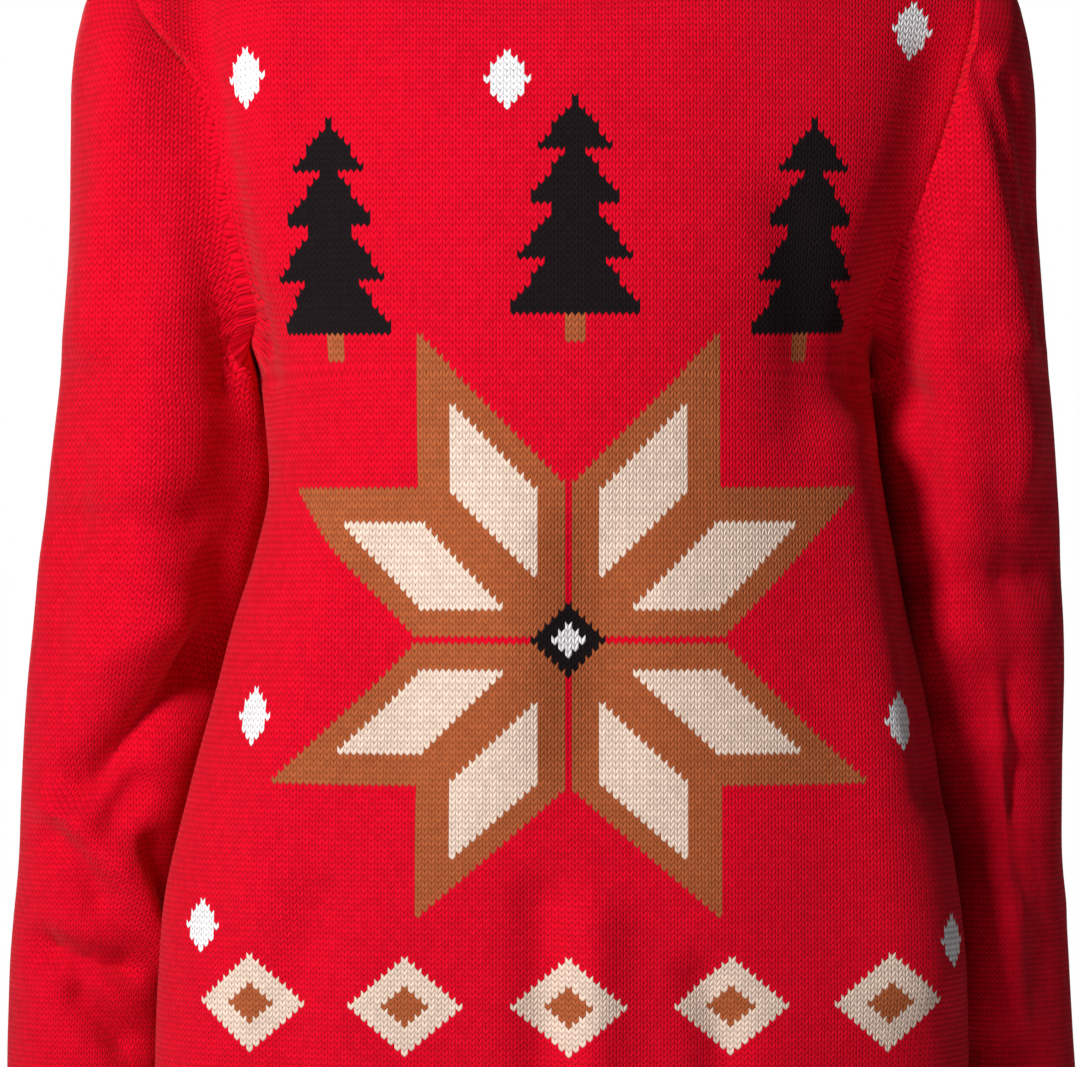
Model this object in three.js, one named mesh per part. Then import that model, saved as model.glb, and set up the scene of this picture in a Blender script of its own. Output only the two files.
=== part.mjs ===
// A knitted Christmas sweater in the shape it takes when it is worn with the arms down: a front and a back
// panel, two dropped sleeves, and ribbed neckband, hem and cuffs, each a thin wall round an open hollow.
// Millimetres, +Z up, the front faces -Y, and left and right are the wearer's: the right sleeve is at -X.
// The origin is between the two neck points, where the shoulder seams meet the neckband.
import * as THREE from "three";

// The cloth
const CLOTH = 2.4; // wall of the stocking stitch
const RIB_CLOTH = 2.4; // wall of the ribbing in its furrows
const RIB_RAISE = 1.4; // how far a rib stands out of its furrow
const SEAM_GAP = 0.3; // between two pieces that are sewn together

// Heights
const UNDERARM_Z = -285;
const SHOULDER_CURVE = 1.15; // above 1, the shoulder seam drops more steeply towards its tip
const SHOULDER_TIP = { y: 8, z: -60 }; // where the shoulder seam meets the sleeve
const HEM_SEAM_Z = -662;
const HEM_RIB = 60;
const CUFF_SEAM_Z = -660;
const CUFF_RIB = 58;

// The crew neck: half its width, how far the front and the back dip and reach from the neck points, and an
// exponent that makes the dip rounder above 1
const NECK = {
  halfWidth: 88, y: 6, frontDrop: 80, frontReach: 82, backDrop: 24, backReach: 62, dipCurve: 1.3,
};
const NECK_CENTRE = new THREE.Vector3(0, NECK.y, 0);
// The ribbed neckband: its height, and how much it goes on in the panels' direction instead of upright.
const NECKBAND = { height: 22, flow: 0.5 };

// How the other ribs draw in: the hem to this share of its width, and the cuff within its uppermost part
const HEM_DRAW_IN = 0.975;
const CUFF_GRIP = 0.8;
const CUFF_GATHER = 0.2;

// How finely the pieces are faceted
const SHOULDER_COLUMNS = 5; // columns along one shoulder seam
const NECK_COLUMNS = 5; // columns along half the front or back neckline
const ARMHOLE_ROWS = 12; // rows from the shoulder tip down to the underarm
const YOKE_ROWS = 5; // of those, the ones above the chest's level rows
const BODY_ROWS = 12; // rows from the underarm to the hem seam
const RIBS_PER_COLUMN = 2; // of hem and neckband, to one column of the panel
const RINGS_PER_STATION = 2; // sleeve rings to one row of its table
const HALF_COLUMNS = SHOULDER_COLUMNS + NECK_COLUMNS;
const DENSE = 60; // steps that measure a curve's length before it is shared out evenly
const EASED_ROWS = ARMHOLE_ROWS + 2; // rows of a panel that are eased to their neighbours
const EASE_PASSES = 3;

// The yoke: the panels' cloth above the chest's level rows, which turns over the shoulder and in to the neck.
// level and rise give the direction in which its columns arrive there, handle how long they keep the one they
// start in, and neckShare the part of the half width over which the one arrival gives way to the other.
const YOKE = {
  shoulder: { level: 1, rise: 0.12 },
  neck: { level: 0.5, rise: 0.86 },
  handle: 0.42,
  neckShare: 0.6,
};

// Body sections from the underarm down: half widths, and the places in depth of side seam, front and back.
const bodySections = [
  { z: -285, right: 164, left: 166, side: 8, front: -119, back: 112 },
  { z: -320, right: 159, left: 170, side: 5, front: -120, back: 108 },
  { z: -360, right: 162, left: 176, side: 0, front: -121, back: 104 },
  { z: -405, right: 175, left: 184, side: -6, front: -122, back: 102 },
  { z: -452, right: 187, left: 194, side: -12, front: -122, back: 102 },
  { z: -505, right: 201, left: 203, side: -18, front: -123, back: 104 },
  { z: -565, right: 215, left: 212, side: -23, front: -124, back: 106 },
  { z: -620, right: 219, left: 216, side: -26, front: -124, back: 108 },
  { z: -662, right: 220, left: 216, side: -27, front: -123, back: 108 },
];
const BODY_SQUARENESS = 2.3; // exponent of the body's rounded section, 2 being an ellipse

// Body sections from the underarm up: the depth of centre front and back, and how far behind or before them
// each section would be at its widest if the armhole didn't cut it short.
const chestSections = [
  { z: -285, front: -119, back: 112, frontReach: 127, backReach: 104, squareness: 2.3 },
  { z: -262, front: -119, back: 114, frontReach: 126, backReach: 105, squareness: 2.15 },
  { z: -225, front: -118, back: 116, frontReach: 126, backReach: 107, squareness: 2 },
  { z: -180, front: -114, back: 117, frontReach: 129, backReach: 111, squareness: 2 },
  { z: -142, front: -105, back: 113, frontReach: 134, backReach: 116, squareness: 2 },
];

// The armhole seams: how far out they lie at each height. Their depth follows a half circle of this reach.
const ARMHOLE_REACH = 66;
const armholes = [
  { z: -285, right: 165, left: 166 },
  { z: -255, right: 171, left: 173 },
  { z: -220, right: 180, left: 186 },
  { z: -189, right: 186, left: 197 },
  { z: -148, right: 192, left: 208 },
  { z: -118, right: 205, left: 216 },
  { z: -92, right: 224, left: 220 },
  { z: -75, right: 233, left: 222 },
  { z: -60, right: 236, left: 223 },
];

// Sleeve stations from the armhole to the cuff seam: the outer and inner edges of the tube as seen from the
// front, its middle in depth and half its depth.
const sleeves = {
  right: [
    { outerX: 236, outerZ: -60, innerX: 165, innerZ: -285, midY: 8, halfDepth: 66 },
    { outerX: 260, outerZ: -82, innerX: 170, innerZ: -291, midY: 9, halfDepth: 65 },
    { outerX: 267, outerZ: -130, innerX: 172, innerZ: -301, midY: 10, halfDepth: 64 },
    { outerX: 269, outerZ: -195, innerX: 172, innerZ: -318, midY: 11, halfDepth: 63 },
    { outerX: 274, outerZ: -268, innerX: 173, innerZ: -346, midY: 12, halfDepth: 61 },
    { outerX: 282, outerZ: -342, innerX: 178, innerZ: -388, midY: 14, halfDepth: 59 },
    { outerX: 290, outerZ: -415, innerX: 190, innerZ: -440, midY: 18, halfDepth: 56 },
    { outerX: 296, outerZ: -480, innerX: 203, innerZ: -493, midY: 22, halfDepth: 54 },
    { outerX: 299, outerZ: -545, innerX: 214, innerZ: -551, midY: 25, halfDepth: 52 },
    { outerX: 303, outerZ: -605, innerX: 218, innerZ: -608, midY: 26, halfDepth: 50 },
    { outerX: 304, outerZ: -660, innerX: 220, innerZ: -660, midY: 26, halfDepth: 47 },
  ],
  left: [
    { outerX: 223, outerZ: -60, innerX: 166, innerZ: -285, midY: 8, halfDepth: 66 },
    { outerX: 249, outerZ: -82, innerX: 173, innerZ: -291, midY: 9, halfDepth: 65 },
    { outerX: 255, outerZ: -130, innerX: 177, innerZ: -301, midY: 11, halfDepth: 64 },
    { outerX: 257, outerZ: -195, innerX: 180, innerZ: -318, midY: 13, halfDepth: 63 },
    { outerX: 263, outerZ: -268, innerX: 184, innerZ: -346, midY: 16, halfDepth: 62 },
    { outerX: 270, outerZ: -342, innerX: 190, innerZ: -388, midY: 19, halfDepth: 61 },
    { outerX: 274, outerZ: -415, innerX: 198, innerZ: -440, midY: 22, halfDepth: 60 },
    { outerX: 274, outerZ: -480, innerX: 205, innerZ: -493, midY: 25, halfDepth: 58 },
    { outerX: 274, outerZ: -545, innerX: 211, innerZ: -551, midY: 27, halfDepth: 56 },
    { outerX: 277, outerZ: -605, innerX: 215, innerZ: -608, midY: 28, halfDepth: 53 },
    { outerX: 280, outerZ: -660, innerX: 217, innerZ: -660, midY: 28, halfDepth: 48 },
  ],
};
const ARMHOLE_FADE_RINGS = 7; // rings over which the armhole's own outline gives way to the tube's

// The largest folds, as soft ridges (lift above 0) and troughs (below 0) that follow a bent line seen from
// the front. face is the side of the garment they are on, -1 the front and 1 the back.
const folds = [
  { on: "sleeve_right", face: -1, from: [-240, -80], by: [-237, -165], to: [-252, -250], wide: 17, lift: 6 },
  { on: "sleeve_right", face: -1, from: [-198, -165], by: [-192, -230], to: [-190, -390], wide: 16, lift: -6 },
  { on: "sleeve_right", face: -1, from: [-270, -362], by: [-232, -366], to: [-202, -362], wide: 17, lift: -5 },
  { on: "sleeve_right", face: -1, from: [-190, -446], by: [-225, -458], to: [-270, -500], wide: 16, lift: -8 },
  { on: "sleeve_right", face: -1, from: [-212, -420], by: [-228, -424], to: [-244, -438], wide: 15, lift: 4 },
  { on: "sleeve_right", face: -1, from: [-268, -522], by: [-250, -545], to: [-220, -578], wide: 14, lift: 6 },
  { on: "sleeve_right", face: -1, from: [-284, -594], by: [-260, -602], to: [-232, -598], wide: 14, lift: -5 },
  { on: "sleeve_right", face: 1, from: [-205, -430], by: [-240, -450], to: [-280, -440], wide: 16, lift: -7 },
  { on: "sleeve_right", face: 1, from: [-212, -500], by: [-246, -520], to: [-286, -560], wide: 15, lift: 6 },
  { on: "sleeve_left", face: -1, from: [223, -90], by: [234, -165], to: [258, -262], wide: 17, lift: 7 },
  { on: "sleeve_left", face: -1, from: [200, -190], by: [194, -250], to: [196, -330], wide: 17, lift: -6 },
  { on: "sleeve_left", face: -1, from: [200, -390], by: [230, -398], to: [264, -388], wide: 16, lift: -7 },
  { on: "sleeve_left", face: -1, from: [218, -455], by: [216, -490], to: [224, -525], wide: 20, lift: -7 },
  { on: "sleeve_left", face: -1, from: [246, -585], by: [242, -610], to: [246, -640], wide: 20, lift: 5 },
  { on: "sleeve_left", face: 1, from: [206, -425], by: [238, -445], to: [268, -430], wide: 16, lift: -7 },
  { on: "sleeve_left", face: 1, from: [212, -515], by: [242, -530], to: [268, -570], wide: 15, lift: 6 },
  { on: "front", face: -1, from: [184, -140], by: [172, -195], to: [158, -262], wide: 20, lift: -8 },
  { on: "front", face: -1, from: [-185, -105], by: [-176, -150], to: [-168, -200], wide: 16, lift: -5 },
  { on: "front", face: -1, from: [176, -385], by: [184, -430], to: [193, -490], wide: 17, lift: -5 },
  { on: "front", face: -1, from: [-87, -370], by: [-90, -420], to: [-84, -475], wide: 28, lift: -4 },
  { on: "front", face: -1, from: [16, -380], by: [20, -425], to: [14, -470], wide: 24, lift: -3 },
  { on: "front", face: -1, from: [14, -580], by: [15, -620], to: [14, -680], wide: 18, lift: 4 },
  { on: "back", face: 1, from: [-150, -190], by: [-110, -240], to: [-60, -260], wide: 22, lift: 5 },
  { on: "back", face: 1, from: [150, -200], by: [105, -255], to: [55, -280], wide: 22, lift: 5 },
  { on: "back", face: 1, from: [-30, -470], by: [-22, -560], to: [-34, -680], wide: 24, lift: 5 },
  { on: "back", face: 1, from: [95, -500], by: [110, -570], to: [104, -680], wide: 24, lift: -5 },
];
const FOLD_STEPS = 12; // straight pieces of a fold's line
const FOLD_TURN = { from: -0.1, to: 0.5 }; // a fold fades out where the cloth turns to the other side

const colours = { red: 0xc8082a };

const lerp = THREE.MathUtils.lerp;
const radians = THREE.MathUtils.degToRad;

// The value of one column of a table at a place along another, on a smooth curve through the rows.
function smoothColumn(table, key, at, place) {
  const rows = table[0][place] < table[table.length - 1][place] ? table : [...table].reverse();
  const last = rows.length - 1;
  if (at <= rows[0][place]) return rows[0][key];
  if (at >= rows[last][place]) return rows[last][key];
  const i = rows.findIndex((row, n) => n < last && at <= rows[n + 1][place]);
  const slope = (n) => {
    const before = rows[Math.max(n - 1, 0)];
    const after = rows[Math.min(n + 1, last)];
    return (after[key] - before[key]) / (after[place] - before[place]);
  };
  const span = rows[i + 1][place] - rows[i][place];
  const t = (at - rows[i][place]) / span;
  const hermite = (a, ma, b, mb) =>
    (2 * t ** 3 - 3 * t ** 2 + 1) * a + (t ** 3 - 2 * t ** 2 + t) * ma +
    (-2 * t ** 3 + 3 * t ** 2) * b + (t ** 3 - t ** 2) * mb;
  return hermite(rows[i][key], slope(i) * span, rows[i + 1][key], slope(i + 1) * span);
}

// Evenly spaced points along a curve that is given as a function of 0 to 1.
function evenly(pointAt, steps) {
  const dense = Array.from({ length: DENSE + 1 }, (_, n) => pointAt(n / DENSE));
  const length = [0];
  for (let n = 1; n <= DENSE; n++) length.push(length[n - 1] + dense[n].distanceTo(dense[n - 1]));
  return Array.from({ length: steps + 1 }, (_, k) => {
    const want = (length[DENSE] * k) / steps;
    const n = Math.min(length.findIndex((l, m) => m > 0 && l >= want - 1e-9), DENSE);
    const t = (want - length[n - 1]) / (length[n] - length[n - 1]);
    return dense[n - 1].clone().lerp(dense[n], t);
  });
}

// A point of the armhole seam. angle is 0 at the shoulder tip and 180 at the underarm; facing is -1 for its
// front half and 1 for its back half, and hand is -1 for the wearer's right and 1 for the left.
function armholePoint(angle, facing, hand) {
  const middle = (SHOULDER_TIP.z + UNDERARM_Z) / 2;
  const half = (SHOULDER_TIP.z - UNDERARM_Z) / 2;
  const z = middle + half * Math.cos(radians(angle));
  const x = smoothColumn(armholes, hand < 0 ? "right" : "left", z, "z");
  const y = SHOULDER_TIP.y + facing * ARMHOLE_REACH * Math.sin(radians(angle));
  return new THREE.Vector3(hand * x, y, z);
}

// Half a level row of a panel, from the middle out to its edge, as a curve from 0 to 1. It is part of a
// quarter of a rounded section, as deep as reach.
function halfRow(middleY, edge, reach, squareness) {
  const power = 2 / squareness;
  const depth = (edge.y - middleY) / reach;
  const end = Math.acos(Math.max(1 - depth, 0) ** (1 / power));
  return (t) => {
    const across = Math.sin(end * t) ** power / Math.sin(end) ** power;
    const behind = reach * (1 - Math.max(Math.cos(end * t), 0) ** power);
    return new THREE.Vector3(edge.x * across, middleY + behind, edge.z);
  };
}

// One level row, from the wearer's right edge to the left edge.
function levelRow(middleY, edges, reach, squareness) {
  const halves = edges.map((edge) => evenly(halfRow(middleY, edge, reach, squareness), HALF_COLUMNS));
  return [...halves[0].reverse(), ...halves[1].slice(1)];
}

// Row number, from 0 at the shoulder tip, to the armhole's angle.
const armholeAngle = (row) => (180 * row) / ARMHOLE_ROWS;

// The top edge of a panel, from shoulder tip to shoulder tip: shoulder seam, neckline, shoulder seam.
function topEdge(facing) {
  const drop = facing < 0 ? NECK.frontDrop : NECK.backDrop;
  const reach = facing < 0 ? NECK.frontReach : NECK.backReach;
  const half = (hand) => {
    const neck = evenly((t) => {
      const a = (t * Math.PI) / 2;
      const dip = Math.cos(a) ** NECK.dipCurve;
      return new THREE.Vector3(
        hand * NECK.halfWidth * Math.sin(a), NECK.y + facing * reach * Math.cos(a), -drop * dip);
    }, NECK_COLUMNS);
    const neckPoint = new THREE.Vector3(hand * NECK.halfWidth, NECK.y, 0);
    const tip = armholePoint(0, facing, hand);
    const shoulder = evenly((t) => neckPoint.clone().lerp(tip, t).setZ(tip.z * t ** SHOULDER_CURVE),
      SHOULDER_COLUMNS);
    return [...neck, ...shoulder.slice(1)];
  };
  return [...half(-1).reverse(), ...half(1).slice(1)];
}

// A panel's cross-rows from the shoulder down to the hem seam. facing is -1 for the front and 1 for the back.
function panelRows(facing) {
  const side = facing < 0 ? "front" : "back";
  const chestRow = (row) => {
    const edges = [-1, 1].map((hand) => armholePoint(armholeAngle(row), facing, hand));
    const [middle, reach, squareness] = [side, `${side}Reach`, "squareness"]
      .map((key) => smoothColumn(chestSections, key, edges[0].z, "z"));
    return levelRow(middle, edges, -facing * reach, squareness);
  };
  const bodyRow = (z) => {
    const edges = [["right", -1], ["left", 1]].map(([hand, sign]) => new THREE.Vector3(
      sign * smoothColumn(bodySections, hand, z, "z"), smoothColumn(bodySections, "side", z, "z"), z));
    const middle = smoothColumn(bodySections, side, z, "z");
    return levelRow(middle, edges, edges[0].y - middle, BODY_SQUARENESS);
  };

  const chest = [];
  for (let row = YOKE_ROWS; row < ARMHOLE_ROWS; row++) chest.push(chestRow(row));
  const body = [];
  for (let row = 0; row <= BODY_ROWS; row++) {
    body.push(bodyRow(lerp(UNDERARM_Z, HEM_SEAM_Z, row / BODY_ROWS)));
  }
  // The underarm is one point of the armhole on each side.
  [[0, -1], [2 * HALF_COLUMNS, 1]].forEach(([column, hand]) => {
    body[0][column] = armholePoint(180, facing, hand);
  });

  // Above the level rows each column is a curve that rises and turns over the shoulder or in to the neck.
  const top = topEdge(facing);
  const yoke = Array.from({ length: YOKE_ROWS }, () => []);
  top.forEach((end, column) => {
    const start = chest[0][column];
    const rise = start.clone().sub(chest[1][column]).normalize();
    const [overShoulder, toNeck] = [YOKE.shoulder, YOKE.neck]
      .map(({ level, rise: up }) => new THREE.Vector3(0, -facing * level, up).normalize());
    const outwardShare = Math.abs(column - HALF_COLUMNS) / HALF_COLUMNS;
    const shoulderShare = THREE.MathUtils.smoothstep(outwardShare, 0, YOKE.neckShare);
    const arrive = toNeck.lerp(overShoulder, shoulderShare).normalize();
    const handle = start.distanceTo(end) * YOKE.handle;
    const curve = new THREE.CubicBezierCurve3(
      start, start.clone().addScaledVector(rise, handle), end.clone().addScaledVector(arrive, -handle), end);
    for (let row = 0; row < YOKE_ROWS; row++) yoke[row].push(curve.getPoint(1 - row / YOKE_ROWS));
  });
  // The armhole's own outline holds at the panel's edges and fades out over the next columns.
  yoke.forEach((points, row) => {
    [[0, -1], [2 * HALF_COLUMNS, 1]].forEach(([edge, hand]) => {
      const shift = armholePoint(armholeAngle(row), facing, hand).sub(points[edge]);
      for (let n = 0; n < SHOULDER_COLUMNS; n++) {
        points[edge - hand * n].addScaledVector(shift, (row ? 1 : 0) * (1 - n / SHOULDER_COLUMNS) ** 2);
      }
    });
  });
  const rows = [...yoke, ...chest, ...body];
  for (let pass = 0; pass < EASE_PASSES; pass++) {
    for (let row = 1; row < EASED_ROWS; row++) {
      for (let column = 1; column < 2 * HALF_COLUMNS; column++) {
        const here = rows[row][column];
        easeBetween(here, rows[row - 1][column], rows[row + 1][column]);
        if (row < YOKE_ROWS) easeBetween(here, rows[row][column - 1], rows[row][column + 1]);
      }
    }
  }
  return rows;
}

// Moves a point halfway to the straight line between two neighbours, at its own share of the way.
function easeBetween(here, before, after) {
  const t = here.distanceTo(before) / (here.distanceTo(before) + here.distanceTo(after));
  here.lerp(before.clone().lerp(after, t), 0.5);
}

// The rings of a sleeve from the armhole to the cuff seam. Each ring starts at its outer edge and goes round
// by the front, the inner edge and the back.
function sleeveRings(hand) {
  const stations = sleeves[hand < 0 ? "right" : "left"].map((station, n) => ({ ...station, n }));
  const count = (stations.length - 1) * RINGS_PER_STATION;
  const around = 2 * ARMHOLE_ROWS;
  const tube = (ring, angle) => {
    const at = (key) => smoothColumn(stations, key, ring / RINGS_PER_STATION, "n");
    const outward = Math.cos(angle);
    const x = (at("outerX") + at("innerX")) / 2 + ((at("outerX") - at("innerX")) / 2) * outward;
    const z = (at("outerZ") + at("innerZ")) / 2 + ((at("outerZ") - at("innerZ")) / 2) * outward;
    return new THREE.Vector3(hand * x, at("midY") - at("halfDepth") * Math.sin(angle), z);
  };
  const rings = [];
  for (let ring = 0; ring <= count; ring++) {
    const fade = Math.max(0, 1 - ring / ARMHOLE_FADE_RINGS) ** 2;
    rings.push(Array.from({ length: around }, (_, k) => {
      const angle = (2 * Math.PI * k) / around;
      const facing = k <= ARMHOLE_ROWS ? -1 : 1;
      const row = k <= ARMHOLE_ROWS ? k : around - k;
      const own = armholePoint(armholeAngle(row), facing, hand).sub(tube(0, angle));
      return tube(ring, angle).addScaledVector(own, fade);
    }));
  }
  return hand < 0 ? rings : rings.map((ring) => [ring[0], ...ring.slice(1).reverse()]);
}

// Mean outward normals, shared by pieces that meet at a seam.
const keyOf = (p) => [p.x, p.y, p.z].map((v) => Math.round(v * 100)).join();
function sharedNormals(grids) {
  const normals = new Map();
  grids.forEach(({ rows, closed }) => {
    const columns = rows[0].length;
    for (let r = 0; r + 1 < rows.length; r++) {
      for (let c = 0; c < (closed ? columns : columns - 1); c++) {
        const next = (c + 1) % columns;
        const corners = [rows[r][c], rows[r + 1][c], rows[r + 1][next], rows[r][next]];
        const down = corners[2].clone().sub(corners[0]);
        const across = corners[3].clone().sub(corners[1]);
        const normal = down.cross(across).normalize();
        corners.forEach((p) => {
          const key = keyOf(p);
          normals.set(key, (normals.get(key) ?? new THREE.Vector3()).add(normal));
        });
      }
    }
  });
  normals.forEach((n) => n.normalize());
  return (p) => normals.get(keyOf(p));
}

// How far the folds of one piece lift a point that has this normal.
const foldLines = folds.map(({ from, by, to, ...fold }) => ({
  ...fold,
  line: new THREE.QuadraticBezierCurve(...[from, by, to].map((p) => new THREE.Vector2(...p)))
    .getPoints(FOLD_STEPS),
}));
function lift(name, point, normal) {
  const seen = new THREE.Vector2(point.x, point.z);
  return foldLines.filter((fold) => fold.on === name).reduce((sum, { face, line, wide, lift: most }) => {
    const near = Math.min(...line.map((p) => p.distanceTo(seen)));
    const turned = THREE.MathUtils.smoothstep(face * normal.y, FOLD_TURN.from, FOLD_TURN.to);
    return sum + turned * most * Math.exp(-((near / wide) ** 2));
  }, 0);
}

// Lifts the points of all grids by their folds. A point that pieces share takes the folds of each of them.
function fold(grids) {
  const normalAt = sharedNormals(Object.values(grids));
  const lifts = new Map();
  Object.entries(grids).forEach(([name, { rows }]) => {
    new Map(rows.flat().map((p) => [keyOf(p), p])).forEach((p, key) => {
      lifts.set(key, (lifts.get(key) ?? 0) + lift(name, p, normalAt(p)));
    });
  });
  const folded = (p) => p.clone().addScaledVector(normalAt(p), lifts.get(keyOf(p)));
  return Object.fromEntries(Object.entries(grids)
    .map(([name, { rows, closed }]) => [name, { rows: rows.map((row) => row.map(folded)), closed }]));
}

// A closed wall between an outer and an inner grid of points with rows going down and columns to the right,
// as seen from outside. A closed grid's columns go all the way round.
function wall(outer, inner, closed) {
  const rows = outer.length;
  const columns = outer[0].length;
  const positions = [...outer.flat(), ...inner.flat()].flatMap((p) => [p.x, p.y, p.z]);
  const index = [];
  const out = (r, c) => r * columns + (c % columns);
  const back = (r, c) => rows * columns + out(r, c);
  const quad = (a, b, c, d) => index.push(a, b, c, a, c, d);
  const spans = closed ? columns : columns - 1;
  for (let c = 0; c < spans; c++) {
    for (let r = 0; r + 1 < rows; r++) {
      quad(out(r, c), out(r + 1, c), out(r + 1, c + 1), out(r, c + 1));
      quad(back(r, c), back(r, c + 1), back(r + 1, c + 1), back(r + 1, c));
    }
    quad(out(0, c), out(0, c + 1), back(0, c + 1), back(0, c));
    quad(out(rows - 1, c), back(rows - 1, c), back(rows - 1, c + 1), out(rows - 1, c + 1));
  }
  if (!closed) {
    for (let r = 0; r + 1 < rows; r++) {
      quad(out(r, 0), back(r, 0), back(r + 1, 0), out(r + 1, 0));
      quad(out(r, columns - 1), out(r + 1, columns - 1), back(r + 1, columns - 1), back(r, columns - 1));
    }
  }
  const geometry = new THREE.BufferGeometry();
  geometry.setAttribute("position", new THREE.Float32BufferAttribute(positions, 3));
  geometry.setIndex(index);
  geometry.computeVertexNormals();
  return geometry;
}

// The direction of a line of points at one of them, and the part of a vector that is square to a direction.
function directionAlong(points, n) {
  return points[Math.min(n + 1, points.length - 1)].clone().sub(points[Math.max(n - 1, 0)]).normalize();
}
const squareTo = (along, vector) => vector.addScaledVector(along, -vector.dot(along)).normalize();

// Draws a grid's outermost points in along the cloth, by half a seam gap: its side edges, its ends, or both.
function drawnIn(grid, edges, ends = true) {
  const moved = grid.map((row) => row.map((p) => p.clone()));
  const draw = (lines, movedLines) => {
    const last = lines.length - 1;
    [[0, 1], [last, last - 1]].forEach(([line, next]) => {
      movedLines[line].forEach((p, n) => {
        const step = lines[next][n].clone().sub(lines[line][n]);
        p.addScaledVector(squareTo(directionAlong(lines[line], n), step), SEAM_GAP / 2);
      });
    });
  };
  const turned = (rows) => rows[0].map((_, c) => rows.map((row) => row[c]));
  if (ends) draw(grid, moved);
  if (edges) draw(turned(grid), turned(moved));
  return moved;
}

const clothMaterial = (name) => new THREE.MeshStandardMaterial({
  name, color: colours.red, roughness: 0.92, metalness: 0, side: THREE.DoubleSide });

function piece(name, geometry) {
  const mesh = new THREE.Mesh(geometry, clothMaterial(name));
  mesh.name = name;
  return mesh;
}

// The stocking-stitch pieces
const knit = fold({
  front: { rows: panelRows(-1), closed: false },
  back: { rows: panelRows(1).map((row) => [...row].reverse()), closed: false },
  sleeve_right: { rows: sleeveRings(-1), closed: true },
  sleeve_left: { rows: sleeveRings(1), closed: true },
});
const normalAt = sharedNormals(Object.values(knit));

function knitPiece(name) {
  const { rows, closed } = knit[name];
  const inside = rows.map((row) => row.map((p) => p.clone().addScaledVector(normalAt(p), -CLOTH)));
  return piece(name, wall(drawnIn(rows, !closed), drawnIn(inside, !closed), closed));
}

// Where a rib is sewn on: the points of a piece's edge, each with the cloth's normal there and the way it
// goes on past the edge. neighbours are the points beside them, further into the piece.
function seam(points, neighbours) {
  return points.map((point, n) => {
    const along = directionAlong(points, n);
    return { point, normal: normalAt(point), away: squareTo(along, point.clone().sub(neighbours[n])) };
  });
}

// A rib's outer and inner points. Every second column stands out. at(stitch, share) gives the place of a
// point and its outward direction at a share of the rib's depth, from the sewn edge.
function ribbing(edge, perColumn, shares, closed, at) {
  const columns = closed ? edge.length : edge.length - 1;
  const perSpan = perColumn * 2;
  const count = columns * perSpan + (closed ? 0 : 1);
  const mixed = (s, key) => {
    const span = Math.min(Math.floor(s / perSpan), columns - 1);
    return edge[span][key].clone().lerp(edge[(span + 1) % edge.length][key], s / perSpan - span);
  };
  const outer = shares.map(() => []);
  const inner = shares.map(() => []);
  for (let s = 0; s < count; s++) {
    const stitch = { point: mixed(s, "point"), normal: mixed(s, "normal"), away: mixed(s, "away") };
    shares.forEach((share, r) => {
      const { place, outward } = at(stitch, share);
      outer[r].push(place.clone().addScaledVector(outward, s % 2 ? RIB_RAISE : 0));
      inner[r].push(place.clone().addScaledVector(outward, -RIB_CLOTH));
    });
  }
  return { outer, inner };
}

// A hem band hangs from a panel's lowest row and draws the body in a little.
function hemRib(name, panelName) {
  const rows = knit[panelName].rows;
  const edge = seam(rows[rows.length - 1], rows[rows.length - 2]);
  const { outer, inner } = ribbing(edge, RIBS_PER_COLUMN, [0, 1], false, ({ point, normal }, share) => {
    const draw = lerp(1, HEM_DRAW_IN, share);
    const z = HEM_SEAM_Z - lerp(SEAM_GAP / 2, HEM_RIB, share);
    const place = new THREE.Vector3(point.x * draw, point.y * draw, z);
    return { place, outward: normal.setZ(0).normalize() };
  });
  return piece(name, wall(drawnIn(outer, true, false), drawnIn(inner, true, false), false));
}

// A cuff is sewn to the sleeve's last ring and grips closer than the sleeve above it.
function cuff(name, sleeveName) {
  const rows = knit[sleeveName].rows;
  const edge = seam(rows[rows.length - 1], rows[rows.length - 2]);
  const middle = edge.reduce((sum, { point }) => sum.add(point), new THREE.Vector3())
    .divideScalar(edge.length);
  const { outer, inner } = ribbing(edge, 1, [0, CUFF_GATHER, 1], true, ({ point, normal }, share) => {
    const grip = lerp(1, CUFF_GRIP, Math.min(share / CUFF_GATHER, 1));
    const place = middle.clone().lerp(point, grip).setZ(CUFF_SEAM_Z - lerp(SEAM_GAP / 2, CUFF_RIB, share));
    return { place, outward: normal.setZ(0).normalize() };
  });
  return piece(name, wall(outer, inner, true));
}

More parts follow.
